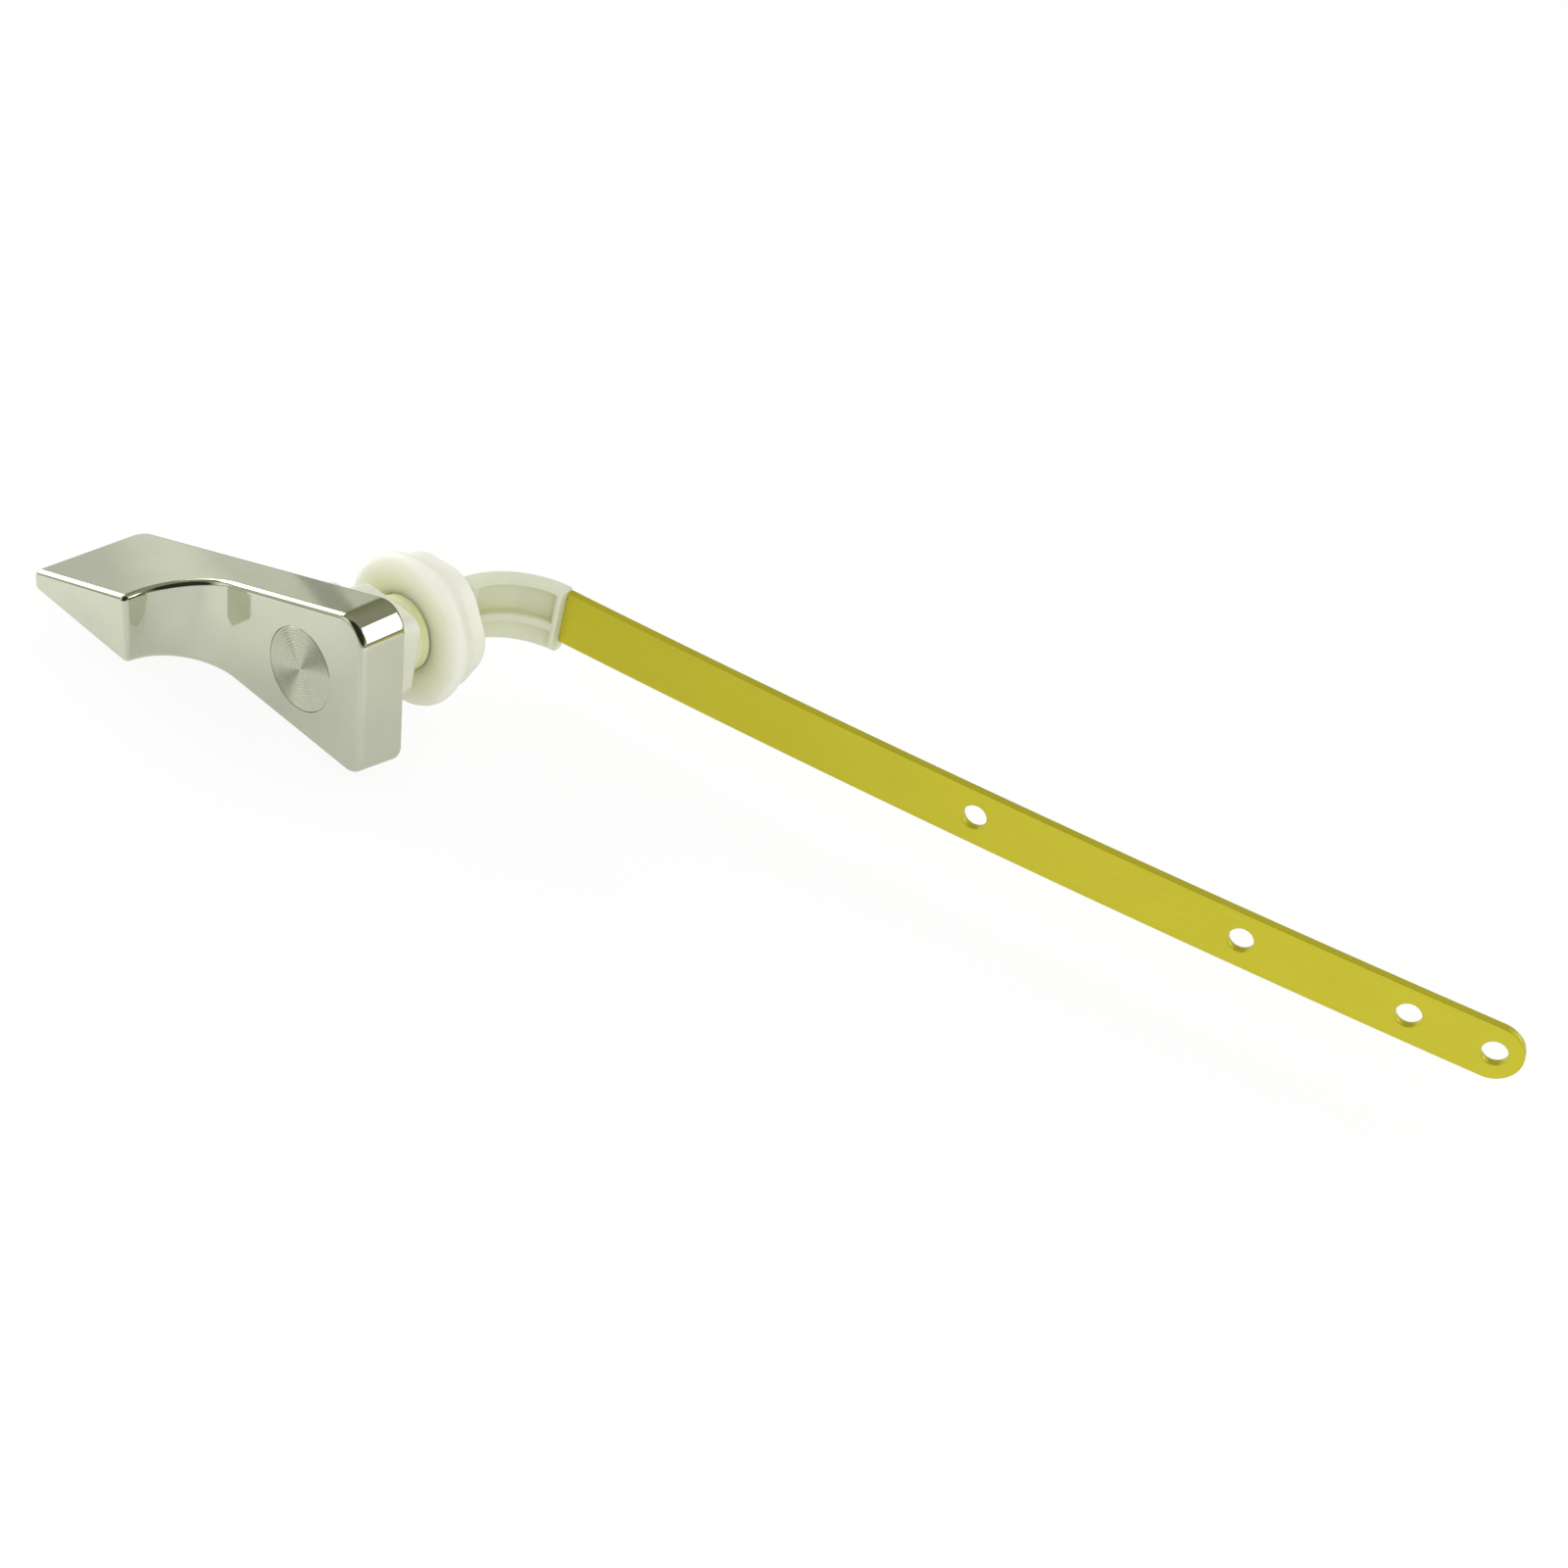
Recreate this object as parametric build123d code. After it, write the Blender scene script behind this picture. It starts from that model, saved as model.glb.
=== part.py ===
from build123d import *
from math import cos, degrees, radians, sin, tan
import os

# Cistern lever. Millimetres, +Z up, +Y along the spindle into the cistern, +X along the lever strip.
# The origin is on the spindle axis at the outer face of the cistern wall.
# Angles round the spindle are seen from the front, from +X towards +Z.

# Clearances
turn_clearance = 0.05        # running fits, on the radius
side_clearance = 0.3         # between faces that pass each other
seat_clearance = 0.1         # round pieces that are seated in one another

# Bushing
neck_width = 16.0            # square neck that fills the square hole in the cistern wall
neck_length = 7.2
neck_corner = 3.0
flange_width = 20.0
flange_thickness = 2.2
flange_corner = 4.5
shank_diameter = 14.0        # over the thread
shank_end = 23.3             # from the wall's outer face
shank_chamfer = 0.8
collar_wall = 1.8            # stop collar in front of the flange
collar_length = 2.8

# Mounting nut
nut_flats = 23.8
nut_thickness = 8.8
nut_corner = 8.0
nut_edge = 1.0
nut_flange_diameter = 28.2
nut_flange_thickness = 2.2
nut_flange_edge = 0.8
nut_bore_chamfer = 0.6
nut_front = 10.8             # from the wall's outer face
nut_turn = 4.0               # degrees, where the nut was left

# Spindle
journal_diameter = 9.0
tenon_width = 6.4            # square end that the handle fits on
tenon_corner = 0.8
shoulder_diameter = 10.4
shoulder_thickness = 1.2

# Elbow
bend_radius = 14.5           # on the centre line
strip_heading = 12.4         # degrees towards +Y where the strip leaves the elbow
elbow_top = 6.1              # above the centre line
elbow_bottom = 7.6           # below the centre line
elbow_inner = 2.2            # centre line to the open side
elbow_outer = 2.4            # centre line to the back of the web
elbow_round = 1.7            # back corners of the web
elbow_lead = 1.0             # straight part before the bend
web_thickness = 2.7
channel_flange = 1.0         # over the channel
rib_thickness = 1.9
rib_drop = 1.8               # middle of the rib, below the centre line
end_lip_length = 1.4
end_lip_bottom = 6.8         # below the centre line
channel_start = 1.0          # along the centre line

# Lever strip
strip_width = 10.6
strip_thickness = 1.7
strip_inset = 0.1            # centre line of the elbow to the near face of the strip
strip_bow_radius = 1935.0
strip_reach = 179.5          # mm from the elbow to the last hole
strip_end = 4.9              # last hole to the tip
hole_pitches = (15.0, 30.0, 50.0)   # from the last hole back towards the elbow
hole_diameter = 4.5
tang_length = 9.0            # moulded into the elbow's web
tang_height = 8.0

# Handle
handle_depth = 9.8
end_reach = 15.5             # spindle axis to the broad end
tip_reach = 55.0             # spindle axis to the tip
end_height = 31.6            # at the back
tip_height = 6.2             # at the back
handle_draft = 3.1           # degrees, upper and lower faces towards the front
end_corner = 5.0             # upper corner of the broad end
low_end_corner = 3.4         # lower corner of the broad end
tip_back_corner = 3.0        # seen from above
tip_front_corner = 1.2       # seen from above
tip_rise = 14.0              # the tip's front stands this far before the front face
tip_face_length = 26.0
scoop_radius = 11.5
scoop_arris = 1.2            # radius where the scoop meets the tip's front
handle_edge = 0.8
handle_wall = 2.6
core_start = 11.0            # spindle axis to the cored tip
core_tip_margin = 7.0
droop = 9.0                  # degrees, tip below level at rest
hub_diameter = 11.0
travel = 40.0                # degrees of swing
lug_angle = -110.0           # degrees, the stop lug at rest
lug_width = 28.0             # degrees
lug_clearance = 2.0          # degrees at each stop

# Disc and screw
disc_diameter = 15.3
disc_thickness = 0.7
disc_edge = 0.15
screw_diameter = 3.8
screw_length = 12.0
screw_head_diameter = 7.0
screw_head_height = 2.3
screw_slot_width = 1.1
screw_slot_depth = 1.2
screw_floor = 1.8            # metal under the screw head

# Places along the spindle
flange_front = -flange_thickness
collar_front = flange_front - collar_length
handle_back = flange_front - side_clearance
handle_front = handle_back - handle_depth
disc_seat = handle_front + disc_thickness
head_front = disc_seat + seat_clearance
head_seat = head_front + screw_head_height
socket_floor = head_seat + screw_floor
journal_front = handle_back + seat_clearance
shoulder_front = shank_end + side_clearance
bend_start = shoulder_front + shoulder_thickness + elbow_lead

# Radii round the spindle
bore_radius = journal_diameter / 2 + turn_clearance
hub_radius = hub_diameter / 2
collar_inner = hub_radius + side_clearance
collar_outer = collar_inner + collar_wall
recess_radius = collar_outer + side_clearance

# The bend, turning from +Y to the strip's heading
bend_angle = 90.0 - strip_heading
bend_length = radians(bend_angle) * bend_radius
bend_axis = Axis((bend_radius, bend_start, 0), (0, 0, -1))

sharp_angle = 15.0           # degrees between faces, below which an edge is smooth
REACH = 400.0                # longer than any cut that has to go right through


def across(y):
    """Plane across the spindle at y, with its normal into the cistern."""
    return Plane(origin=(0, y, 0), x_dir=(1, 0, 0), z_dir=(0, 1, 0))


def rod(radius, start, end):
    """Round bar on the spindle axis."""
    return extrude(across(start) * Circle(radius), amount=end - start)


def square_bar(width, corner, start, end):
    """Bar of rounded square section on the spindle axis."""
    return extrude(across(start) * RectangleRounded(width, width, corner), amount=end - start)


def ring_sector(inner, outer, start, end, middle, spread):
    """Part of a ring round the spindle, `spread` degrees about the angle `middle`."""
    section = Pos((inner + outer) / 2, (start + end) / 2, 0) * Rectangle(outer - inner, end - start)
    sector = revolve(section, axis=-Axis.Y, revolution_arc=spread)
    return turned(sector, middle - spread / 2)


def turned(shape, angle):
    """Shape turned about the spindle."""
    return Rot(0, -angle, 0) * shape


def sharp_edges(solid):
    """Edges where two faces meet at an angle."""
    faces = solid.faces()
    found = ShapeList()
    for edge in solid.edges():
        point = edge.position_at(0.5)
        normals = [face.normal_at(point) for face in faces if edge in face.edges()]
        if normals[0].get_angle(normals[-1]) > sharp_angle:
            found.append(edge)
    return found


def handle_side(side, inset):
    """Plane of the handle's upper (1) or lower (-1) face, facing outwards, `inset` inside the wall."""
    slope = (end_height - tip_height) / 2 / (end_reach + tip_reach)
    corner = (-tip_reach, handle_back, side * tip_height / 2)
    outwards = (-slope, -tan(radians(handle_draft)), side)
    return Plane(origin=corner, x_dir=(1, 0, side * slope), z_dir=outwards).offset(-inset)


def handle_form(inset, tip_x, broad_x, back_y):
    """Scooped plan seen from above, cut to a wedge by the upper and lower faces, `inset` inside the walls."""
    tip_front = handle_front - tip_rise + inset
    plan = Pos(tip_x, back_y) * Rectangle(broad_x - tip_x, back_y - tip_front, align=(Align.MIN, Align.MAX))
    plan = fillet(plan.vertices().sort_by_distance((tip_x, back_y))[0], tip_back_corner)
    scoop_corner = (-tip_reach + tip_face_length - inset, handle_front + inset)
    notch = Pos(*scoop_corner) * Rectangle(REACH, REACH, align=(Align.MIN, Align.MAX))
    notch = fillet(notch.vertices().sort_by_distance(scoop_corner)[0], scoop_radius + inset)
    plan -= notch
    plan = fillet(plan.vertices().sort_by_distance((scoop_corner[0], tip_front))[0], scoop_arris)
    plan = fillet(plan.vertices().sort_by_distance((tip_x, tip_front))[0], tip_front_corner)
    form = extrude(plan, amount=end_height, both=True)
    for side in (1, -1):
        form = split(form, bisect_by=handle_side(side, inset), keep=Keep.BOTTOM)
    return form


def make_handle():
    """Plated handle: wedge with a thumb scoop, cored behind the tip, with a hub and a stop lug at the spindle."""
    handle = handle_form(0, -tip_reach, end_reach, handle_back)
    for side, radius in ((-1, end_corner), (0, low_end_corner)):
        lengthwise = handle.edges().filter_by(lambda edge: abs(edge.tangent_at(0.5).Y) > 0.9)
        handle = fillet(lengthwise.group_by(Axis.X)[-1].sort_by(Axis.Z)[side], radius)
    handle = fillet(sharp_edges(handle), handle_edge)
    handle -= handle_form(handle_wall, -tip_reach + core_tip_margin, -core_start, handle_back + handle_depth)
    handle = turned(handle, droop)

    handle -= rod(disc_diameter / 2 + seat_clearance, handle_front - handle_depth, disc_seat)
    handle -= rod(screw_head_diameter / 2 + side_clearance, handle_front, head_seat)
    handle -= rod(screw_diameter / 2 + side_clearance, handle_front, handle_back)
    handle -= square_bar(tenon_width + 2 * seat_clearance, tenon_corner, socket_floor, handle_back + handle_depth)
    stop_recess = rod(recess_radius, collar_front - side_clearance, handle_back)
    stop_recess -= rod(hub_radius, handle_front, handle_back)
    lug = ring_sector(0, recess_radius * 2, handle_front, handle_back + handle_depth, lug_angle, lug_width)
    return handle - (stop_recess - lug)


def make_cap_disc():
    """Spun disc let into the handle over the screw."""
    disc = rod(disc_diameter / 2, handle_front, disc_seat)
    return chamfer(disc.edges().group_by(Axis.Y)[0], disc_edge)


def make_handle_screw():
    """Pan-head screw that draws the handle onto the spindle."""
    screw = rod(screw_head_diameter / 2, head_front, head_seat)
    screw = fillet(screw.edges().group_by(Axis.Y)[0], screw_head_height / 3)
    screw += rod(screw_diameter / 2, head_seat, head_seat + screw_length)
    screw = chamfer(screw.edges().group_by(Axis.Y)[-1], screw_diameter / 4)
    slot_length = screw_head_diameter / 2
    for width, height in ((screw_slot_width, slot_length), (slot_length, screw_slot_width)):
        screw -= extrude(across(head_front) * Rectangle(width, height), amount=screw_slot_depth)
    return screw


def make_bushing():
    """Bushing: stop collar, flange, square neck and round shank, bored for the spindle."""
    bushing = square_bar(flange_width, flange_corner, flange_front, 0)
    bushing += square_bar(neck_width, neck_corner, 0, neck_length)
    shank = rod(shank_diameter / 2, 0, shank_end)
    bushing += chamfer(shank.edges().group_by(Axis.Y)[-1], shank_chamfer)
    collar = rod(collar_outer, collar_front, flange_front) - rod(collar_inner, collar_front, flange_front)
    swing = lug_width + travel + 2 * lug_clearance
    gap = ring_sector(0, collar_outer * 2, collar_front, flange_front, lug_angle + travel / 2, swing)
    bushing += collar - gap
    return bushing - rod(bore_radius, flange_front, shank_end)


def make_nut():
    """Rounded hexagon nut with a round flange towards the wall."""
    outline = RegularPolygon(nut_flats / 2, 6, major_radius=False)
    outline = fillet(outline.vertices(), nut_corner)
    nut = extrude(across(nut_front) * outline, amount=nut_thickness)
    nut = fillet(nut.edges().group_by(Axis.Y)[-1], nut_edge)
    flange = rod(nut_flange_diameter / 2, nut_front, nut_front + nut_flange_thickness)
    nut += fillet(flange.edges().filter_by(GeomType.CIRCLE), nut_flange_edge)
    bore = shank_diameter / 2 + side_clearance
    nut -= rod(bore, nut_front, nut_front + nut_thickness)
    circles = nut.edges().filter_by(GeomType.CIRCLE)
    nut = chamfer(circles.filter_by(lambda edge: abs(edge.radius - bore) < 0.01), nut_bore_chamfer)
    return turned(nut, nut_turn)


def bend_section(outer, inner, bottom, top, corner=0):
    """Rectangle across the spindle at the start of the bend, with rounded back corners."""
    section = Pos(outer, bottom) * Rectangle(inner - outer, top - bottom, align=Align.MIN)
    if corner:
        section = fillet(section.vertices().group_by(Axis.X)[0], corner)
    return Plane(origin=(0, bend_start, 0), x_dir=(1, 0, 0), z_dir=(0, -1, 0)) * section


def bend(section, start, end):
    """Bar of that section round the bend, from `start` to `end` along its centre line."""
    bar = revolve(section, axis=bend_axis, revolution_arc=degrees((end - start) / bend_radius))
    return bar.rotate(bend_axis, degrees(start / bend_radius))


def make_spindle_arm():
    """Moulded spindle: square end, journal, shoulder, and the elbow with its ribbed channel."""
    lip_end = bend_length - seat_clearance
    lip_start = lip_end - end_lip_length
    arm = square_bar(tenon_width, tenon_corner, socket_floor + seat_clearance, journal_front)
    arm += rod(journal_diameter / 2, journal_front, shoulder_front)
    bar = bend_section(-elbow_outer, elbow_inner, -elbow_bottom, elbow_top, elbow_round)
    arm += rod(shoulder_diameter / 2, shoulder_front, bend_start - elbow_lead)
    arm += extrude(bar, amount=elbow_lead) + bend(bar, 0, lip_end)
    web_face = web_thickness - elbow_outer
    rib_top = -rib_drop + rib_thickness / 2
    below = -elbow_bottom * 2
    for bottom, top, start, end in ((rib_top, elbow_top - channel_flange, channel_start, lip_start),
                                    (below, rib_top - rib_thickness, channel_start, lip_start),
                                    (below, -end_lip_bottom, lip_start, bend_length)):
        arm -= bend(bend_section(web_face, elbow_inner * 2, bottom, top), start, end)

    seat_near = seat_clearance - strip_inset
    seat_far = -strip_inset - strip_thickness - seat_clearance
    seat_half = tang_height / 2 + seat_clearance
    seat = bend_section(seat_far, seat_near, -seat_half, seat_half)
    arm -= bend(seat, bend_length - tang_length - seat_clearance, bend_length)
    pilot_end = head_seat + screw_length + seat_clearance
    return arm - rod(screw_diameter / 2 + turn_clearance, socket_floor, pilot_end)


def strip_plane(along):
    """Plane on the strip's near face, `along` its length from the elbow, with X along the strip."""
    first = radians(strip_heading)
    heading = first + along / strip_bow_radius
    seat_radius = bend_radius + strip_inset
    x = bend_radius - sin(first) * (seat_radius + strip_bow_radius) + sin(heading) * strip_bow_radius
    y = bend_start + cos(first) * (seat_radius + strip_bow_radius) - cos(heading) * strip_bow_radius
    inwards = (-sin(heading), cos(heading), 0)
    return Plane(origin=(x, y, 0), x_dir=(cos(heading), sin(heading), 0), z_dir=inwards)


def make_strip():
    """Flat strip on edge: tang round the bend, long gentle bow, chain holes and round end."""
    length = strip_reach + strip_end
    root = strip_plane(0)
    bow_centre = root.origin + root.z_dir * strip_bow_radius
    sweep = degrees(length / strip_bow_radius)
    near = CenterArc((bow_centre.X, bow_centre.Y), strip_bow_radius, strip_heading - 90, sweep)
    far = CenterArc((bow_centre.X, bow_centre.Y), strip_bow_radius - strip_thickness, strip_heading - 90, sweep)
    blade = make_face([near, far, Line(near @ 0, far @ 0), Line(near @ 1, far @ 1)])
    strip = extrude(blade, amount=strip_width / 2, both=True)

    tip = strip_plane(length - strip_width / 2)
    tongue = Pos(-REACH / 2, 0) * Rectangle(REACH, strip_width * 2) + Circle(strip_width / 2)
    strip &= extrude(tip * tongue, amount=REACH, both=True)
    tang = bend_section(-strip_inset - strip_thickness, -strip_inset, -tang_height / 2, tang_height / 2)
    strip += bend(tang, bend_length - tang_length, bend_length)

    place = strip_reach
    for pitch in (0, *hole_pitches):
        place -= pitch
        strip -= extrude(strip_plane(place) * Circle(hole_diameter / 2), amount=strip_thickness * 2, both=True)
    return strip


os.makedirs("parts", exist_ok=True)
export_step(make_handle(), "parts/handle.step")
export_step(make_cap_disc(), "parts/cap_disc.step")
export_step(make_handle_screw(), "parts/handle_screw.step")
export_step(make_bushing(), "parts/bushing.step")
export_step(make_nut(), "parts/mounting_nut.step")
export_step(make_spindle_arm(), "parts/spindle_arm.step")
export_step(make_strip(), "parts/lever_strip.step")
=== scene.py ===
"""Cistern lever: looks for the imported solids, laid out as a Blender add-on and run as a script."""

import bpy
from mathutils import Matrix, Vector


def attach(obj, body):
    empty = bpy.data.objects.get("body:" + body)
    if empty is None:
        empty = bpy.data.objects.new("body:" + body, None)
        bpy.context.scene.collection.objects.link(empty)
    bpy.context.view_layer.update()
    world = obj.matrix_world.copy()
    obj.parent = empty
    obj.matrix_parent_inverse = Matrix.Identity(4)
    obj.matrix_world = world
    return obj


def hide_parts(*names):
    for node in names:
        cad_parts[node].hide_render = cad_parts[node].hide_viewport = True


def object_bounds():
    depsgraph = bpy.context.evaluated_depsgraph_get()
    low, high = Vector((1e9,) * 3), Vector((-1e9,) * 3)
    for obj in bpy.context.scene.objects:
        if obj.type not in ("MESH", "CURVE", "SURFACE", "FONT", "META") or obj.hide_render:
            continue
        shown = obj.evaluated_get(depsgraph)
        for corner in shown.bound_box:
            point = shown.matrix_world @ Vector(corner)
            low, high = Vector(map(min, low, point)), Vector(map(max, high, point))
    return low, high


bl_info = {
    "name": "Cistern Lever",
    "version": (1, 0, 0),
    "blender": (4, 5, 0),
    "location": "View3D > Sidebar > Cistern Lever",
    "description": "Builds a cistern flush lever over its packed solids",
    "category": "Object",
}

from math import asin, atan, cos, degrees, pi, radians, sin, sqrt, tan

import bmesh
import bpy
from bpy.props import FloatProperty, FloatVectorProperty, PointerProperty
from mathutils import Matrix, Vector
from mathutils.geometry import delaunay_2d_cdt

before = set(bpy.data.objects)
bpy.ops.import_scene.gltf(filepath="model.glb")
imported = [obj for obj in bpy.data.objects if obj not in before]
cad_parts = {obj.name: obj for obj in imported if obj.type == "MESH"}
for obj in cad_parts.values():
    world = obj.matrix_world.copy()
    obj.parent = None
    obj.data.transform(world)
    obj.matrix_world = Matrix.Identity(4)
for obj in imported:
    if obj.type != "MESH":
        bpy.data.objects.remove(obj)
CAD_BOX = [list(corner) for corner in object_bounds()]
MM = 0.001
WELD, SLIVER = 0.002 * MM, 0.001 * MM  # points nearer than the first are joined, edges below the second go
CUT_CLEAR = 5.0  # how far a cut reaches past the surface
TINY = 1e-6

# Sizes in millimetres, most of them shared with the solids, in the same frame: +Y along the spindle into
# the cistern, +X along the strip, +Z up, and the origin on the spindle axis at the wall's outer face.
END_REACH, TIP_REACH = 15.5, 55.0
END_HEIGHT, TIP_HEIGHT = 31.6, 6.2
HANDLE_BACK, HANDLE_FRONT = -2.5, -12.3
HANDLE_DRAFT = radians(3.1)
END_CORNER, LOW_END_CORNER = 5.0, 3.4
TIP_BACK_CORNER, TIP_FRONT_CORNER = 3.0, 1.2
TIP_RISE, TIP_FACE_LENGTH = 14.0, 26.0
WEDGE_SLOPE = (END_HEIGHT - TIP_HEIGHT) / 2 / (END_REACH + TIP_REACH)
SCOOP_RADIUS, SCOOP_ARRIS = 11.5, 1.2
HANDLE_WALL, CORE_START, CORE_TIP = 2.6, -11.0, -48.0
DROOP = radians(9.0)
RECESS_RADIUS, HUB_RADIUS, RECESS_FLOOR = 7.9, 5.5, -5.3
LUG_ANGLE, LUG_WIDTH = -110.0, 28.0
SCREW_BORE, HEAD_BORE, HEAD_SEAT = 2.2, 3.8, -9.2
SOCKET_WIDTH, SOCKET_CORNER, SOCKET_FLOOR = 6.6, 0.8, -7.4
DISC_RADIUS, DISC_SEAT, DISC_FIT = 7.65, -11.6, 0.04
DISC_EDGE, DISC_CENTRE = 0.15, 0.05

FLANGE_WIDTH, FLANGE_CORNER, FLANGE_FRONT = 20.0, 4.5, -2.2
FLANGE_FRONT_EDGE, FLANGE_BACK_EDGE = 0.4, 0.3
NECK_WIDTH, NECK_CORNER, NECK_LENGTH = 16.0, 3.0, 7.2
NECK_FOOT, NECK_EDGE = 0.35, 0.5
SHANK_RADIUS, SHANK_END, SHANK_CHAMFER = 7.0, 23.3, 0.8
THREAD_START, THREAD_RUN_IN, NUT_THREAD_RUN_IN = NECK_LENGTH + 0.3, 1.2, 0.8
THREAD_CREST, THREAD_FLANK = 1.3, 4.2
BUSHING_BORE, BORE_MOUTH = 4.55, 0.3
COLLAR_INNER, COLLAR_OUTER, COLLAR_FRONT, COLLAR_ROOT = 5.8, 7.6, -5.0, 0.5
COLLAR_GAP, COLLAR_GAP_MIDDLE = 72.0, -90.0

NUT_APOTHEM, NUT_CORNER, NUT_EDGE = 11.9, 8.0, 1.0
NUT_FRONT, NUT_BACK = 10.8, 19.6
NUT_FLANGE_RADIUS, NUT_FLANGE_EDGE = 14.1, 1.45
NUT_SLOPE_START, NUT_SLOPE_END = 12.3, 16.6
NUT_BORE, NUT_BORE_CHAMFER = 7.02, 0.02
NUT_FLAT_ANGLE = radians(34.0)

JOURNAL_RADIUS, JOURNAL_FRONT = 4.5, -2.4
TENON_WIDTH, TENON_CORNER, TENON_FRONT = 6.4, 0.8, -7.3
PILOT_RADIUS, PILOT_END = 1.95, 2.9
SHOULDER_RADIUS, SHOULDER_FRONT, SHOULDER_BACK = 5.2, 23.6, 24.8
SPINDLE_EDGE, SHOULDER_EDGE, SPINDLE_ROOT = 0.3, 0.2, 0.6
BEND_RADIUS, BEND_START, ELBOW_LEAD = 14.5, 25.8, 1.0
STRIP_HEADING = radians(12.4)
BEND_LENGTH = (pi / 2 - STRIP_HEADING) * BEND_RADIUS
ELBOW_INNER, ELBOW_OUTER, ELBOW_ROUND = 2.2, 2.4, 1.7
ELBOW_TOP, ELBOW_BOTTOM = 6.1, 7.6
WEB_FACE, LEDGE, RIB_TOP, RIB_BOTTOM = 0.3, 5.1, -0.85, -2.75
CHANNEL_START, SEAT_CLEARANCE, SEAT_MOUTH = 1.0, 0.1, 0.5
LIP_END, LIP_LENGTH = BEND_LENGTH - SEAT_CLEARANCE, 1.4
LIP_START, LIP_BOTTOM, LIP_ROUND = LIP_END - LIP_LENGTH, -6.4, 1.3
CORNER_ROOM = 0.48  # most of a side that one corner's rounding may take

STRIP_HALF, STRIP_THICKNESS, STRIP_INSET = 5.3, 1.7, 0.1
STRIP_BOW, STRIP_LENGTH = 1935.0, 184.4
HOLES_ALONG, HOLE_RADIUS = (84.5, 134.5, 164.5, 179.5), 2.25
TANG_LENGTH, TANG_HALF = 9.0, 4.0
GRID_START, GRID_HEIGHTS = -7.5, (-3.4, -1.7, 0, 1.7, 3.4)
GRID_MARGIN, RIM_MARGIN = 0.7, 0.25  # round the holes: clear of inner points, clear of faces


# Mesh making

def ramp(start, end, count):
    """Evenly spaced values from start to end, both included."""
    return [start + (end - start) * i / (count - 1) for i in range(count)]


def mesh_piece(name, points, faces):
    """Object from points in millimetres."""
    mesh = bpy.data.meshes.new(name)
    mesh.from_pydata([Vector(p) * MM for p in points], [], faces)
    work = bmesh.new()
    work.from_mesh(mesh)
    bmesh.ops.remove_doubles(work, verts=work.verts, dist=WELD)
    bmesh.ops.dissolve_degenerate(work, edges=work.edges, dist=SLIVER)
    bmesh.ops.recalc_face_normals(work, faces=work.faces)
    work.to_mesh(mesh)
    work.free()
    piece = bpy.data.objects.new(name, mesh)
    bpy.context.scene.collection.objects.link(piece)
    return piece


def ringed(name, rings, closed=False):
    """Object skinned over rings of equally many points: capped at both ends, or closed into a loop."""
    around = len(rings[0])
    points = [p for ring in rings for p in ring]
    faces = []
    for k in range(len(rings) if closed else len(rings) - 1):
        low, high = k * around, (k + 1) % len(rings) * around
        for i in range(around):
            j = (i + 1) % around
            faces.append((low + i, low + j, high + j, high + i))
    if not closed:
        last = (len(rings) - 1) * around
        faces.append(tuple(range(around - 1, -1, -1)))
        faces.append(tuple(last + i for i in range(around)))
    return mesh_piece(name, points, faces)


def bake_modifiers(piece):
    """Puts the result of the modifiers into the mesh."""
    bpy.context.view_layer.update()
    graph = bpy.context.evaluated_depsgraph_get()
    mesh = bpy.data.meshes.new_from_object(piece.evaluated_get(graph))
    piece.modifiers.clear()
    piece.data = mesh


def combine(piece, tool, operation):
    """Boolean of the piece with a tool object, which is then removed."""
    modifier = piece.modifiers.new("combine", "BOOLEAN")
    modifier.operation = operation
    modifier.solver = "EXACT"
    modifier.object = tool
    bake_modifiers(piece)
    bpy.data.objects.remove(tool)
    if not piece.data.polygons:
        raise RuntimeError(f"{piece.name}: the boolean left nothing")


def shade(piece, sharp):
    """Smooth shading with edges kept sharp above an angle, and flat faces kept flat."""
    piece.data.shade_smooth()
    piece.data.set_sharp_from_angle(angle=radians(sharp))
    modifier = piece.modifiers.new("even_normals", "WEIGHTED_NORMAL")
    modifier.keep_sharp = True
    modifier.weight = 80


def settle(piece, node, body, material, sharp=35.0):
    """The piece takes the place of a node of the frame."""
    shade(piece, sharp)
    piece.data.materials.clear()
    piece.data.materials.append(material)
    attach(piece, body)
    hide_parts(node)


# Round and polar forms about the spindle

def circle_outline(radius):
    return lambda angle: radius


def square_outline(width, corner):
    """Distance from the axis to a rounded square, by angle."""
    half, core = width / 2, width / 2 - corner

    def reach(angle):
        a, b = sorted((abs(cos(angle)), abs(sin(angle))), reverse=True)
        if half * b / a <= core:
            return half / a
        d = core * (a + b)
        return d + sqrt(max(corner ** 2 - 2 * core ** 2 + d ** 2, 0))
    return reach


def hexagon_outline(apothem, corner):
    """Distance from the axis to a rounded hexagon, by angle."""
    centre = (apothem - corner) / cos(pi / 6)
    flat_end = atan((apothem - corner) * tan(pi / 6) / apothem)

    def reach(angle):
        turn = abs((angle - NUT_FLAT_ANGLE + pi / 6) % (pi / 3) - pi / 6)
        if turn <= flat_end:
            return apothem / cos(turn)
        d = centre * cos(pi / 6 - turn)
        return d + sqrt(corner ** 2 - centre ** 2 + d ** 2)
    return reach


def between(first, second, share):
    """Outline part of the way from one to another."""
    return lambda angle: first(angle) * (1 - share) + second(angle) * share


def polar_ring(outline, y, around):
    """Ring of points round the spindle at y."""
    ring = []
    for i in range(around):
        angle = 2 * pi * i / around
        r = outline(angle)
        ring.append((r * cos(angle), y, r * sin(angle)))
    return ring


def circle_ring(radius, y, around):
    return polar_ring(circle_outline(radius), y, around)


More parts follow.
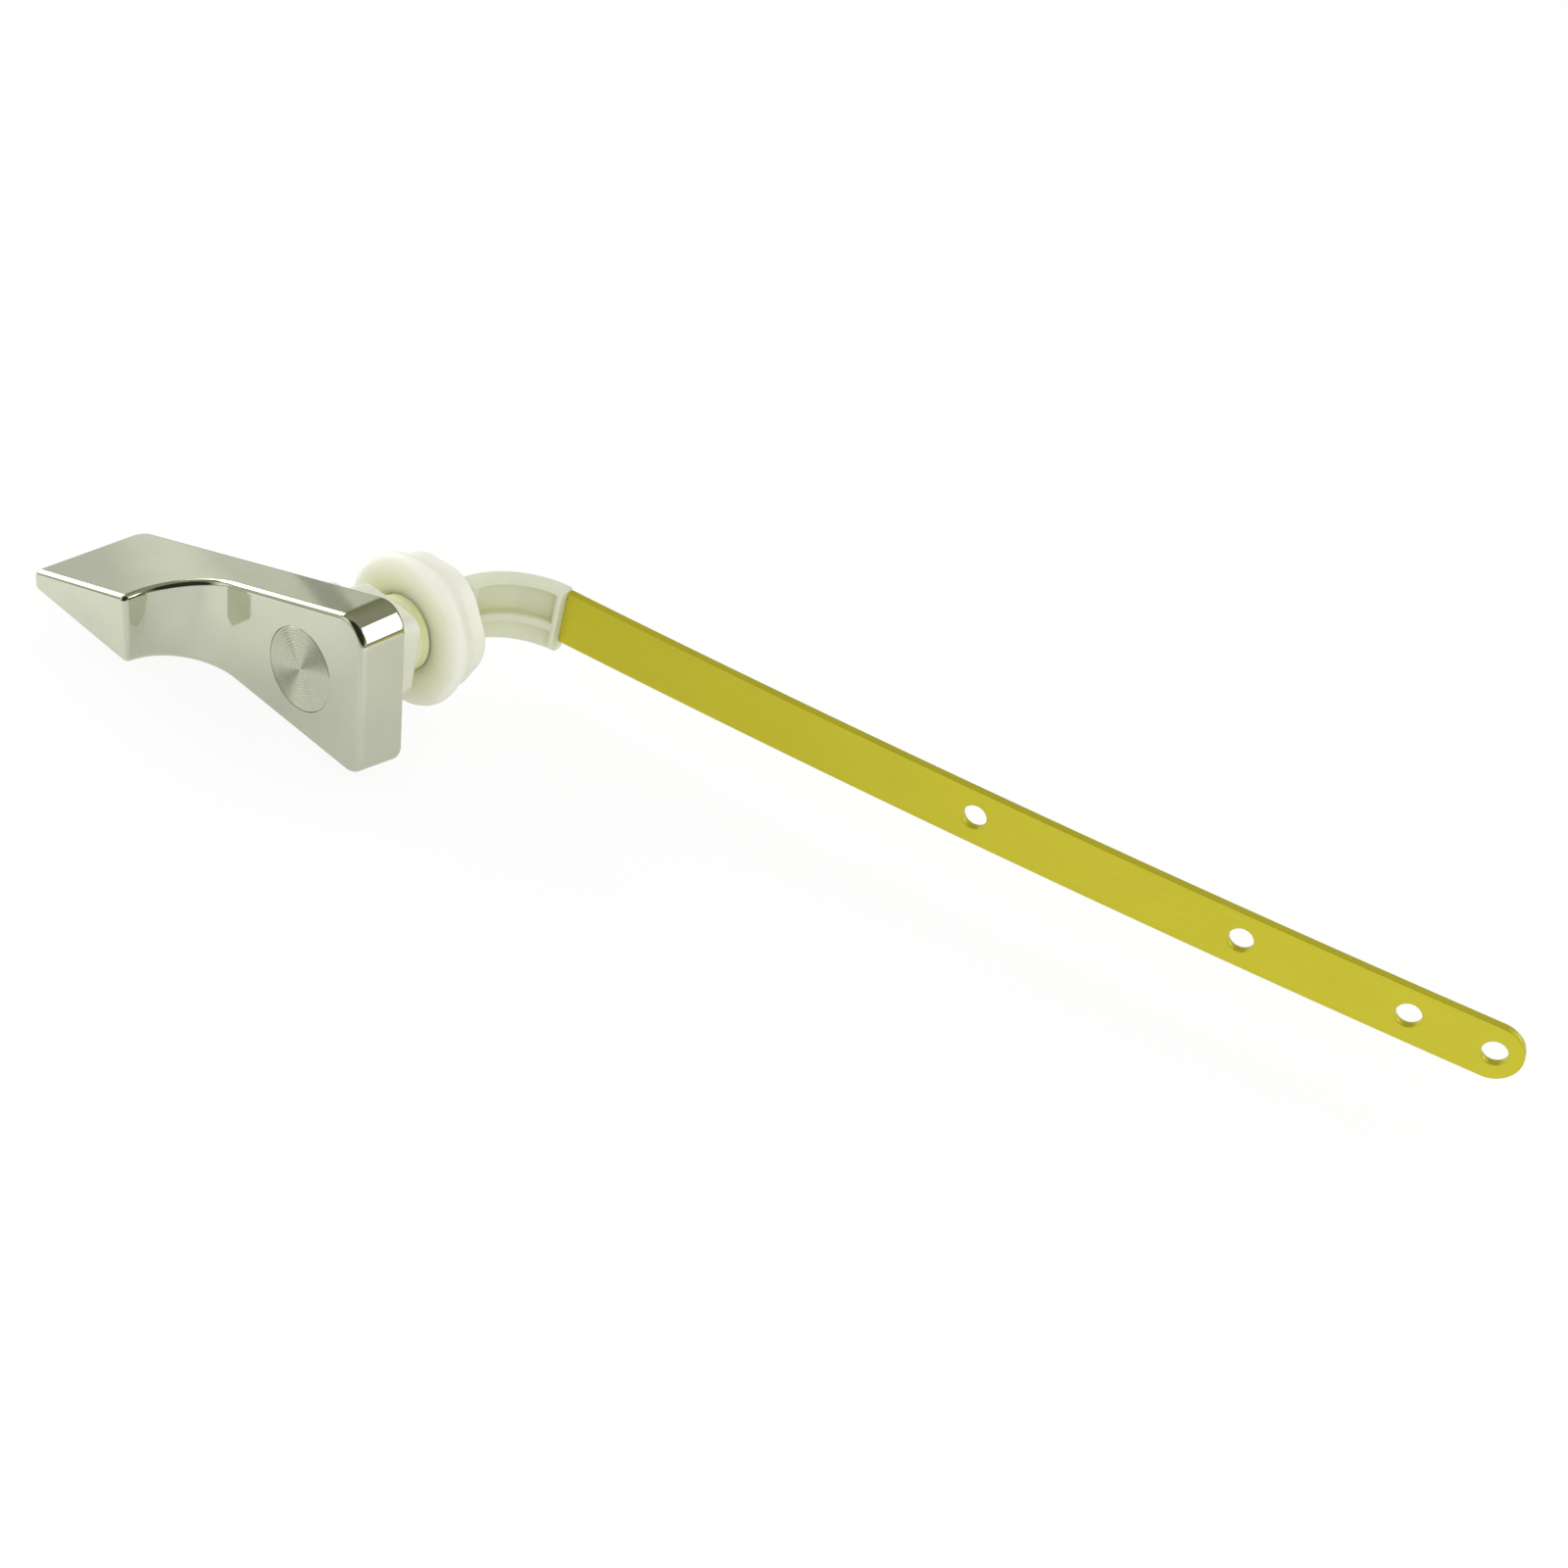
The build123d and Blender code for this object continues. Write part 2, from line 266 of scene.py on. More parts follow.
def quarter(radius, steps=4):
    """Pairs (inset, advance) round an edge, from the face across the spindle to the side."""
    return [(radius * (1 - sin(a)), radius * (1 - cos(a))) for a in ramp(0, pi / 2, steps + 1)]


def rod(name, radius, start, end, around=96):
    return ringed(name, [circle_ring(radius, y, around) for y in (start, end)])


def ring_sector(name, inner, outer, start, end, middle, spread, steps=60):
    """Part of a ring round the spindle, `spread` degrees about the angle `middle`."""
    rings = []
    for angle in ramp(radians(middle - spread / 2), radians(middle + spread / 2), steps):
        corners = ((inner, start), (outer, start), (outer, end), (inner, end))
        rings.append([(r * cos(angle), y, r * sin(angle)) for r, y in corners])
    return ringed(name, rings)


def thread_height(angle, y, pitch):
    """Height of a rounded thread, 0 at the root and 1 at the crest."""
    phase = (y / pitch - angle / (2 * pi)) % 1
    return min(max(THREAD_CREST - abs(phase - 0.5) * THREAD_FLANK, 0), 1)


# Handle

def wedge_half(x, y, inset):
    """Half the height of the handle's wedge at a point of its plan."""
    draft = tan(HANDLE_DRAFT)
    normal = sqrt(1 + WEDGE_SLOPE ** 2 + draft ** 2)
    return TIP_HEIGHT / 2 + WEDGE_SLOPE * (x + TIP_REACH) + draft * (y - HANDLE_BACK) - inset * normal


def arc(centre, radius, start, end, steps):
    """Points of an arc in the plan, in degrees."""
    return [(centre[0] + radius * cos(radians(a)), centre[1] + radius * sin(radians(a)))
            for a in ramp(start, end, steps + 1)]


def wedge_ribs(inset, tip_x, broad_x, back_y):
    """Pairs of plan points, front and back, from the tip to the broad end."""
    tip_front = HANDLE_FRONT - TIP_RISE + inset
    front_y = HANDLE_FRONT + inset
    scoop_x = -TIP_REACH + TIP_FACE_LENGTH - inset
    scoop = SCOOP_RADIUS + inset
    steps = 10
    front = arc((tip_x + TIP_FRONT_CORNER, tip_front + TIP_FRONT_CORNER), TIP_FRONT_CORNER, 180, 270, steps)
    back = arc((tip_x + TIP_BACK_CORNER, back_y - TIP_BACK_CORNER), TIP_BACK_CORNER, 180, 90, steps)
    arris = 0 if inset else SCOOP_ARRIS
    front += [(x, tip_front) for x in ramp(front[-1][0], scoop_x - arris, 8)[1:-1]]
    if arris:
        front += arc((scoop_x - arris, tip_front + arris), arris, 270, 360, steps)
    first = 180 - degrees(asin(max(tip_front - front_y + scoop, 0) / scoop))
    front += arc((scoop_x + scoop, front_y - scoop), scoop, first, 90, 44)
    front += [(x, front_y) for x in ramp(front[-1][0], broad_x, 8)[1:]]
    along = [0.0]
    for a, b in zip(front[steps:], front[steps + 1:]):
        along.append(along[-1] + (Vector(b) - Vector(a)).length)
    back += [(back[-1][0] + (broad_x - back[-1][0]) * a / along[-1], back_y) for a in along[1:]]
    return list(zip(front, back))


def wedge(name, inset, tip_x, broad_x, back_y, corners=None):
    """Scooped wedge of the handle, `inset` inside its walls, its broad end rounded by any corners given."""
    tilt = atan(WEDGE_SLOPE)
    rows = {}
    for side in (1, -1):
        reach = broad_x
        if corners:
            radius = corners[side]
            reach = broad_x - radius - radius * sin(tilt)
        ribs = wedge_ribs(inset, tip_x, reach, back_y)
        columns = [[(x, y, side * wedge_half(x, y, inset)) for x, y in rib] for rib in ribs]
        if corners:
            for a in ramp(pi / 2 + tilt, 0, 29)[1:]:
                column = []
                for x, y in ribs[-1]:
                    centre = wedge_half(broad_x - radius, y, inset) - radius / cos(tilt)
                    column.append((broad_x - radius + radius * cos(a), y, side * (centre + radius * sin(a))))
                columns.append(column)
        rows[side] = columns
    count = len(rows[1])
    points = [p for side in (1, -1) for column in rows[side] for p in column]

    def index(side, rib, end):
        return (0 if side == 1 else 2 * count) + 2 * rib + end
    faces = []
    for k in range(count - 1):
        for side in (1, -1):
            faces.append((index(side, k, 0), index(side, k + 1, 0), index(side, k + 1, 1), index(side, k, 1)))
        for end in (0, 1):
            faces.append((index(1, k, end), index(1, k + 1, end), index(-1, k + 1, end), index(-1, k, end)))
    for k in (0, count - 1):
        faces.append((index(1, k, 0), index(1, k, 1), index(-1, k, 1), index(-1, k, 0)))
    return mesh_piece(name, points, faces)


def turn_about_spindle(piece, angle):
    piece.data.transform(Matrix.Rotation(-angle, 4, "Y"))


class LeverHandleSettings(bpy.types.PropertyGroup):
    """Handle, its plating and the disc and screw in it."""
    edge: FloatProperty(name="Edge Radius", description="Rounding of the handle's edges", default=1.1 * MM,
                        unit="LENGTH", precision=5)
    plate: FloatVectorProperty(name="Plate", description="Colour of the chrome plate",
                               default=(0.715, 0.735, 0.61), size=3, subtype="COLOR", min=0, max=1)
    disc: FloatVectorProperty(name="Disc", description="Colour of the spun disc", default=(0.76, 0.78, 0.65),
                              size=3, subtype="COLOR", min=0, max=1)
    ring_pitch: FloatProperty(name="Ring Pitch", description="Distance between the disc's turned rings",
                              default=0.5 * MM, unit="LENGTH", precision=5)
    ring_depth: FloatProperty(name="Ring Depth", description="Depth of the disc's turned rings",
                              default=0.11 * MM, unit="LENGTH", precision=6)
    screw: FloatVectorProperty(name="Screw", description="Colour of the zinc-plated screw",
                               default=(0.58, 0.58, 0.54), size=3, subtype="COLOR", min=0, max=1)


class LeverBushingSettings(bpy.types.PropertyGroup):
    """Bushing and nut."""
    cream: FloatVectorProperty(name="Bushing", description="Colour of the cream plastic",
                               default=(0.82, 0.84, 0.72), size=3, subtype="COLOR", min=0, max=1)
    nylon: FloatVectorProperty(name="Nut", description="Colour of the nut's nylon",
                               default=(0.88, 0.89, 0.76), size=3, subtype="COLOR", min=0, max=1)
    thread_pitch: FloatProperty(name="Thread Pitch", description="Pitch of the shank's thread",
                                default=2.0 * MM, unit="LENGTH", precision=5)
    thread_depth: FloatProperty(name="Thread Depth", description="Depth of the shank's thread",
                                default=0.15 * MM, unit="LENGTH", precision=5)


class LeverArmSettings(bpy.types.PropertyGroup):
    """Spindle arm and strip."""
    arm: FloatVectorProperty(name="Arm", description="Colour of the arm's plastic",
                             default=(0.72, 0.74, 0.59), size=3, subtype="COLOR", min=0, max=1)
    fillet: FloatProperty(name="Moulded Fillet", description="Rounding of the elbow's edges",
                          default=0.45 * MM, unit="LENGTH", precision=5)
    strip: FloatVectorProperty(name="Strip", description="Colour of the yellow strip",
                               default=(0.63, 0.57, 0.028), size=3, subtype="COLOR", min=0, max=1)
    strip_edge: FloatProperty(name="Strip Edge", description="Rounding of the strip's rolled edges",
                              default=0.2 * MM, unit="LENGTH", precision=5)


class LeverStageSettings(bpy.types.PropertyGroup):
    """Floor, light and camera."""
    floor: FloatVectorProperty(name="Floor", description="Colour of the floor", default=(0.93, 0.93, 0.93),
                               size=3, subtype="COLOR", min=0, max=1)
    floor_drop: FloatProperty(name="Floor Drop", description="Floor below the lowest point", default=2 * MM,
                              unit="LENGTH")
    side_level: FloatProperty(name="Side Light", description="Level of the room's light from the sides",
                              default=1.15)
    top_level: FloatProperty(name="Top Light", description="Level of the room's light from above",
                             default=0.65)
    lens: FloatProperty(name="Lens", description="Focal length on a 36 mm sensor",
                        default=54.568, unit="CAMERA")


class LeverSettings(bpy.types.PropertyGroup):
    """All settings of the cistern lever."""
    handle: PointerProperty(type=LeverHandleSettings)
    bushing: PointerProperty(type=LeverBushingSettings)
    arm: PointerProperty(type=LeverArmSettings)
    stage: PointerProperty(type=LeverStageSettings)


# Materials

# Painted shade in the hollows of the plastics: how far the hollows are felt, and how open a place is that
# gets all or none of the yellower painted shade
HOLLOW_REACH, HOLLOW_DEEP, HOLLOW_OPEN, HOLLOW_SAMPLES = 6 * MM, 0.35, 0.9, 12


def shaded(colour, factor):
    """Colour made darker or lighter."""
    return tuple(min(c * factor, 1.0) for c in colour)


class NodeTree:
    """Nodes of a material or of the world."""

    def __init__(self, owner):
        owner.use_nodes = True
        self.nodes = owner.node_tree.nodes
        self.links = owner.node_tree.links

    def fill(self, socket, value):
        """Links an output to a socket, or sets a constant on it."""
        if isinstance(value, bpy.types.NodeSocket):
            self.links.new(value, socket)
        else:
            socket.default_value = value

    def node(self, kind, inputs, **settings):
        """Outputs of a new node with these inputs and settings."""
        node = self.nodes.new(kind)
        for name, value in settings.items():
            setattr(node, name, value)
        for name, value in inputs.items():
            self.fill(node.inputs[name], value)
        return node.outputs

    def scaled(self, vector, scale):
        return self.node("ShaderNodeMapping", {"Vector": vector, "Scale": scale})["Vector"]

    def axes(self, vector):
        return self.node("ShaderNodeSeparateXYZ", {"Vector": vector})

    def length(self, vector):
        return self.node("ShaderNodeVectorMath", {0: vector}, operation="LENGTH")["Value"]

    def maths(self, operation, first, second):
        return self.node("ShaderNodeMath", {0: first, 1: second}, operation=operation)["Value"]

    def span(self, value, low, high, new_low=0.0, new_high=1.0):
        """Value from one range into another, held at its ends."""
        limits = {"From Min": low, "From Max": high, "To Min": new_low, "To Max": new_high}
        return self.node("ShaderNodeMapRange", {"Value": value, **limits})["Result"]

    def blend(self, share, first, second, blend_type="MIX"):
        """Colour between two colours, each a tuple or an output."""
        node = self.nodes.new("ShaderNodeMix")
        node.data_type = "RGBA"
        node.blend_type = blend_type
        self.fill(node.inputs["Factor"], share)
        sockets = [s for s in node.inputs if s.type == "RGBA"]
        for socket, colour in zip(sockets, (first, second)):
            self.fill(socket, (*colour, 1) if isinstance(colour, tuple) else colour)
        return [s for s in node.outputs if s.type == "RGBA"][0]

    def mixed(self, share, first, second):
        """Shader between two shaders."""
        return self.node("ShaderNodeMixShader", {0: share, 1: first, 2: second})["Shader"]

    def rays(self, first, *others):
        """1 for rays of these kinds, as Light Path names them."""
        path = self.nodes.new("ShaderNodeLightPath").outputs
        result = path[first]
        for kind in others:
            result = self.maths("MAXIMUM", result, path[kind])
        return result

    def colour_steps(self, value, steps):
        """Colour by where a value lies among (position, colour) steps."""
        node = self.nodes.new("ShaderNodeValToRGB")
        elements = node.color_ramp.elements
        for element, (position, colour) in zip((elements[0], elements[1]), (steps[0], steps[-1])):
            element.position = position
            element.color = (*colour, 1)
        for position, colour in steps[1:-1]:
            elements.new(position).color = (*colour, 1)
        self.links.new(value, node.inputs["Fac"])
        return node.outputs["Color"]

    def levels(self, value, steps):
        """Grey by where a value lies among (place, level) steps."""
        first, last = steps[0][0], steps[-1][0]
        greys = [((place - first) / (last - first), (level,) * 3) for place, level in steps]
        return self.colour_steps(self.span(value, first, last), greys)


class Finish(NodeTree):
    """Material round one Principled shader."""

    def __init__(self, name):
        self.material = bpy.data.materials.new(name)
        super().__init__(self.material)
        self.shader = self.nodes["Principled BSDF"]
        self.place = self.nodes.new("ShaderNodeTexCoord").outputs["Object"]
        self.bumps = None

    def put(self, **values):
        """Constants and outputs on the shader's own sockets."""
        for name, value in values.items():
            self.fill(self.shader.inputs[name.replace("_", " ")], value)

    def noise(self, scale, detail, rough=0.55, distortion=0.0, stretch=None):
        inputs = {"Scale": scale, "Detail": detail, "Roughness": rough, "Distortion": distortion}
        inputs["Vector"] = self.scaled(self.place, stretch) if stretch else self.place
        return self.node("ShaderNodeTexNoise", inputs)["Fac"]

    def hollows(self, reach):
        """1 in the open and less down to 0 inside hollows and corners."""
        return self.node("ShaderNodeAmbientOcclusion", {"Distance": reach}, samples=HOLLOW_SAMPLES)["AO"]

    def mottle(self, value, colour, darkest, lightest, low=0.3, high=0.7):
        """Colour between a darker and a lighter shade of one colour."""
        share = self.span(value, low, high)
        return self.blend(share, shaded(colour, darkest), shaded(colour, lightest))

    def bump(self, height, distance, strength=1.0):
        """Relief on top of the bumps that are there."""
        inputs = {"Height": height, "Distance": distance, "Strength": strength}
        if self.bumps:
            inputs["Normal"] = self.bumps
        self.bumps = self.node("ShaderNodeBump", inputs)["Normal"]
        self.put(Normal=self.bumps)


def chrome_plate(colour):
    """Mirror plate with a faint waviness, wiping marks and slightly duller patches."""
    finish = Finish("chrome_plate")
    patches = finish.noise(90, detail=4)
    wiping = finish.noise(260, detail=6, rough=0.7, stretch=(1.0, 0.25, 2.0))
    waves = finish.noise(70, detail=1, rough=0.4)
    finish.put(Metallic=1.0, Base_Color=finish.mottle(patches, colour, 0.97, 1.03),
               Roughness=finish.span(wiping, 0.35, 0.75, 0.03, 0.075))
    finish.bump(waves, 0.012 * MM)
    return finish.material


def spun_metal(colour):
    """Disc turned in fine rings, so that it shines in sectors."""
    finish = Finish("spun_metal")
    tangent = finish.node("ShaderNodeTangent", {}, direction_type="RADIAL", axis="Y")["Tangent"]
    axes = finish.axes(finish.place)
    plane = finish.node("ShaderNodeCombineXYZ", {"X": axes["X"], "Y": axes["Z"]})["Vector"]
    rings = {"W": finish.length(plane), "Scale": 5200, "Detail": 2}
    lines = finish.node("ShaderNodeTexNoise", rings, noise_dimensions="1D")["Fac"]
    finish.put(Metallic=1.0, Anisotropic=0.9, Anisotropic_Rotation=0.25, Tangent=tangent,
               Base_Color=finish.mottle(lines, colour, 0.88, 1.08),
               Roughness=finish.span(lines, 0.3, 0.7, 0.26, 0.36))
    finish.bump(lines, 0.006 * MM)
    return finish.material


def screw_steel(colour):
    """Zinc-plated steel, grained and a little dull."""
    finish = Finish("screw_steel")
    grain = finish.noise(1500, detail=4)
    finish.put(Metallic=1.0, Base_Color=finish.mottle(grain, colour, 0.9, 1.06),
               Roughness=finish.span(grain, 0.3, 0.7, 0.3, 0.45))
    finish.bump(grain, 0.01 * MM)
    return finish.material


def moulded_plastic(name, colour, subsurface, roughness, painted_shade_blue, depth=1.0):
    """Satin moulded plastic with flow marks, a fine mould grain, a slight depth and painted shade, yellower,
    in its hollows.
    """
    finish = Finish(name)
    flow = finish.noise(110, detail=4, distortion=0.6, stretch=(1.0, 0.6, 1.0))
    grain = finish.noise(5200, detail=2)
    marked = finish.mottle(flow, colour, 0.955, 1.035)
    # Painted shade: the colour turns less blue in hollows and corners, where shade falls
    painted_shade = (colour[0], colour[1], colour[2] * painted_shade_blue)
    openness = finish.span(finish.hollows(HOLLOW_REACH), HOLLOW_DEEP, HOLLOW_OPEN)
    finish.put(Subsurface_Weight=subsurface, Subsurface_Radius=(0.004, 0.004, 0.0036), Subsurface_Scale=depth,
               IOR=1.49, Specular_IOR_Level=0.42, Base_Color=finish.blend(openness, painted_shade, marked),
               Roughness=finish.span(flow, 0.3, 0.7, *roughness))
    finish.bump(flow, 0.06 * MM, strength=0.7)
    finish.bump(grain, 0.006 * MM)
    return finish.material


def rolled_yellow(colour):
    """Yellow passivated strip with rolling lines along it and cloudy patches."""
    finish = Finish("strip_brass")
    lines = finish.noise(1500, detail=3, rough=0.6, stretch=(0.012, 0.012, 1.0))
    clouds = finish.span(finish.noise(60, detail=4, rough=0.6), 0.35, 0.7, 0, 0.35)
    rubbed = finish.mottle(lines, colour, 0.97, 1.03, low=0.35, high=0.65)
    finish.put(Metallic=0.5, Specular_IOR_Level=0.5,
               Base_Color=finish.blend(clouds, rubbed, shaded(colour, 0.88)),
               Roughness=finish.span(lines, 0.3, 0.7, 0.28, 0.40))
    finish.bump(lines, 0.02 * MM)
    return finish.material


# Pieces

class CISTERN_OT_handle(bpy.types.Operator):
    """Build the chromed handle with its scoop, hollow back and stop recess"""
    bl_idname = "cistern_lever.handle"
    bl_label = "Handle"

    def execute(self, context):
        settings = context.scene.cistern_lever.handle
        corners = {1: END_CORNER, -1: LOW_END_CORNER}
        handle = wedge("chromed_handle", 0, -TIP_REACH, END_REACH, HANDLE_BACK, corners)
        bevel = handle.modifiers.new("edges", "BEVEL")
        bevel.width = settings.edge
        bevel.segments = 8
        bevel.limit_method = "ANGLE"
        bevel.angle_limit = radians(30)
        bevel.use_clamp_overlap = False
        bevel.loop_slide = False
        bake_modifiers(handle)
        core = wedge("core", HANDLE_WALL, CORE_TIP, CORE_START, HANDLE_BACK + 2 * CUT_CLEAR)
        combine(handle, core, "DIFFERENCE")
        turn_about_spindle(handle, DROOP)
        front, back = HANDLE_FRONT - CUT_CLEAR, HANDLE_BACK + CUT_CLEAR
        square = square_outline(SOCKET_WIDTH, SOCKET_CORNER)
        cuts = (rod("seat", DISC_RADIUS + DISC_FIT, front, DISC_SEAT, around=144),
                rod("head_bore", HEAD_BORE, front, HEAD_SEAT),
                rod("screw_bore", SCREW_BORE, front, back),
                ringed("socket", [polar_ring(square, y, 96) for y in (SOCKET_FLOOR, back)]),
                ring_sector("recess", HUB_RADIUS, RECESS_RADIUS, RECESS_FLOOR, back,
                            LUG_ANGLE + 180, 360 - LUG_WIDTH))
        for cut in cuts:
            combine(handle, cut, "DIFFERENCE")
        settle(handle, "handle", "lever", chrome_plate(tuple(settings.plate)))
        return {"FINISHED"}


class CISTERN_OT_disc(bpy.types.Operator):
    """Build the spun disc with its turned rings"""
    bl_idname = "cistern_lever.disc"
    bl_label = "Disc"

    def execute(self, context):
        settings = context.scene.cistern_lever.handle
        pitch, depth = settings.ring_pitch / MM, settings.ring_depth / MM
        around = 160
        rings = [circle_ring(DISC_CENTRE, DISC_SEAT, around), circle_ring(DISC_RADIUS, DISC_SEAT, around),
                 circle_ring(DISC_RADIUS, HANDLE_FRONT + DISC_EDGE, around)]
        flat = DISC_RADIUS - DISC_EDGE
        turns = int(flat / pitch)
        for k, r in enumerate(ramp(flat, DISC_CENTRE, 4 * turns + 1)):
            groove = depth * (0, 0.5, 1, 0.5)[k % 4]
            rings.append(circle_ring(r, HANDLE_FRONT + groove, around))
        disc = ringed("spun_disc", rings)
        settle(disc, "cap_disc", "lever", spun_metal(tuple(settings.disc)), sharp=12.0)
        return {"FINISHED"}


class CISTERN_OT_screw(bpy.types.Operator):
    """Finish the screw under the disc"""
    bl_idname = "cistern_lever.screw"
    bl_label = "Screw"

    def execute(self, context):
        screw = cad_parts["handle_screw"]
        screw.data.materials.clear()
        screw.data.materials.append(screw_steel(tuple(context.scene.cistern_lever.handle.screw)))
        return {"FINISHED"}


class CISTERN_OT_bushing(bpy.types.Operator):
    """Build the bushing: collar, flange, square neck and threaded shank"""
    bl_idname = "cistern_lever.bushing"
    bl_label = "Bushing"

    def execute(self, context):
        settings = context.scene.cistern_lever.bushing
        pitch, depth = settings.thread_pitch / MM, settings.thread_depth / MM
        around = 192

        def square(width, corner, inset, y):
            return polar_ring(square_outline(width - 2 * inset, corner - inset), y, around)

        def thread(y):
            rise = depth * min(max((y - THREAD_START) / THREAD_RUN_IN, 0), 1)
            root = SHANK_RADIUS - depth
            limit = SHANK_RADIUS - max(0, y - SHANK_END + SHANK_CHAMFER)
            return lambda angle: min(root + rise * thread_height(angle, y, pitch), limit)
        rings = [circle_ring(BUSHING_BORE, y, around)
                 for y in ramp(SHANK_END - BORE_MOUTH, FLANGE_FRONT + BORE_MOUTH, 4)]
        rings.append(circle_ring(BUSHING_BORE + BORE_MOUTH, FLANGE_FRONT, around))
        for inset, advance in quarter(FLANGE_FRONT_EDGE):
            rings.append(square(FLANGE_WIDTH, FLANGE_CORNER, inset, FLANGE_FRONT + advance))
        for inset, advance in reversed(quarter(FLANGE_BACK_EDGE)):
            rings.append(square(FLANGE_WIDTH, FLANGE_CORNER, inset, -advance))
        for inset, advance in quarter(NECK_FOOT):
            rings.append(square(NECK_WIDTH, NECK_CORNER, inset - NECK_FOOT, NECK_FOOT - advance))
        for inset, advance in reversed(quarter(NECK_EDGE)):
            rings.append(square(NECK_WIDTH, NECK_CORNER, inset, NECK_LENGTH - advance))
        for y in ramp(NECK_LENGTH, SHANK_END, 81):
            rings.append(polar_ring(thread(y), y, around))
        rings.append(circle_ring(BUSHING_BORE + BORE_MOUTH, SHANK_END, around))
        bushing = ringed("square_neck_bushing", rings, closed=True)
        collar = ring_sector("collar", COLLAR_INNER, COLLAR_OUTER, COLLAR_FRONT, FLANGE_FRONT + COLLAR_ROOT,
                             COLLAR_GAP_MIDDLE + 180, 360 - COLLAR_GAP, steps=73)
        combine(bushing, collar, "UNION")
        material = moulded_plastic("cream_plastic", tuple(settings.cream), subsurface=0.12,
                                   roughness=(0.3, 0.42), painted_shade_blue=0.58)
        settle(bushing, "bushing", "bushing", material)
        return {"FINISHED"}


class CISTERN_OT_nut(bpy.types.Operator):
    """Build the rounded hexagon nut with its flange and inner thread"""
    bl_idname = "cistern_lever.nut"
    bl_label = "Nut"

    def execute(self, context):
        settings = context.scene.cistern_lever.bushing
        pitch, depth = settings.thread_pitch / MM, settings.thread_depth / MM
        around = 240

        def hexagon(inset, y):
            return polar_ring(hexagon_outline(NUT_APOTHEM - inset, NUT_CORNER - inset), y, around)
        rings = [circle_ring(NUT_BORE + NUT_BORE_CHAMFER, NUT_FRONT, around)]
        for inset, advance in quarter(NUT_FLANGE_EDGE, 6):
            rings.append(circle_ring(NUT_FLANGE_RADIUS - inset, NUT_FRONT + advance, around))
        rim, side = circle_outline(NUT_FLANGE_RADIUS), hexagon_outline(NUT_APOTHEM, NUT_CORNER)
        for t in ramp(0, 1, 15):
            y = NUT_SLOPE_START + t * (NUT_SLOPE_END - NUT_SLOPE_START)
            rings.append(polar_ring(between(rim, side, t * t * (3 - 2 * t)), y, around))
        for inset, advance in reversed(quarter(NUT_EDGE, 6)):
            rings.append(hexagon(inset, NUT_BACK - advance))
        rings.append(circle_ring(NUT_BORE + NUT_BORE_CHAMFER, NUT_BACK, around))

        def thread(y):
            ends = min(y - NUT_FRONT - NUT_BORE_CHAMFER, NUT_BACK - NUT_BORE_CHAMFER - y)
            rise = depth * min(max(ends / NUT_THREAD_RUN_IN, 0), 1)
            return lambda angle: NUT_BORE + rise * thread_height(angle, y, pitch)
        for y in ramp(NUT_BACK - NUT_BORE_CHAMFER, NUT_FRONT + NUT_BORE_CHAMFER, 39):
            rings.append(polar_ring(thread(y), y, around))
        nut = ringed("flanged_nut", rings, closed=True)
        material = moulded_plastic("nylon", tuple(settings.nylon), subsurface=1.0,
                                   roughness=(0.3, 0.42), painted_shade_blue=0.84, depth=2.0)
        settle(nut, "mounting_nut", "nut", material)
        return {"FINISHED"}


def bend_point(along, offset, z):
    """Point by its place along the elbow's centre line and its offset towards the inside of the bend."""
    if along <= 0:
        return (offset, BEND_START + along, z)
    angle = along / BEND_RADIUS
    reach = BEND_RADIUS - offset
    return (BEND_RADIUS - reach * cos(angle), BEND_START + reach * sin(angle), z)


def rounded_loop(corners, steps=6):
    """Closed polygon with each corner (offset, z, radius) rounded by equally many points."""
    loop = []
    for i, (o, z, radius) in enumerate(corners):
        corner = Vector((o, z))
        to_last = Vector(corners[i - 1][:2]) - corner
        to_next = Vector(corners[(i + 1) % len(corners)][:2]) - corner
        if min(to_last.length, to_next.length) < TINY or abs(to_last.cross(to_next)) < TINY:
            loop += [tuple(corner)] * (steps + 1)
            continue
        half = to_last.angle(to_next) / 2
        room = CORNER_ROOM * min(to_last.length, to_next.length)
        trim = min(radius / tan(half), room)
        radius = trim * tan(half)
        first = corner + to_last.normalized() * trim
        last = corner + to_next.normalized() * trim
        centre = corner + (to_last.normalized() + to_next.normalized()).normalized() * radius / sin(half)
        for w in ramp(0, 1, steps + 1):
            spoke = (first - centre).lerp(last - centre, w)
            loop.append(tuple(centre + spoke.normalized() * radius))
    return loop


def elbow_ring(along, depth, foot, inset, edge):
    """Section of the elbow: a flange and a rib before a web at that depth, with its foot at another."""
    face = ELBOW_INNER - inset
    web, toe = min(ELBOW_INNER - depth, face), min(ELBOW_INNER - foot, face)
    low, high, back = inset - ELBOW_BOTTOM, ELBOW_TOP - inset, inset - ELBOW_OUTER
    shelf = LIP_BOTTOM + inset
    round_back = ELBOW_ROUND - inset
    corners = [(back, low, round_back), (toe, low, edge), (toe, shelf, edge), (web, shelf, LIP_ROUND - inset),
               (web, RIB_BOTTOM, edge), (face, RIB_BOTTOM, edge), (face, RIB_TOP, edge), (web, RIB_TOP, edge),
               (web, LEDGE, edge), (face, LEDGE, edge), (face, high, edge), (back, high, round_back)]
    return [bend_point(along, o, z) for o, z in rounded_loop(corners)]


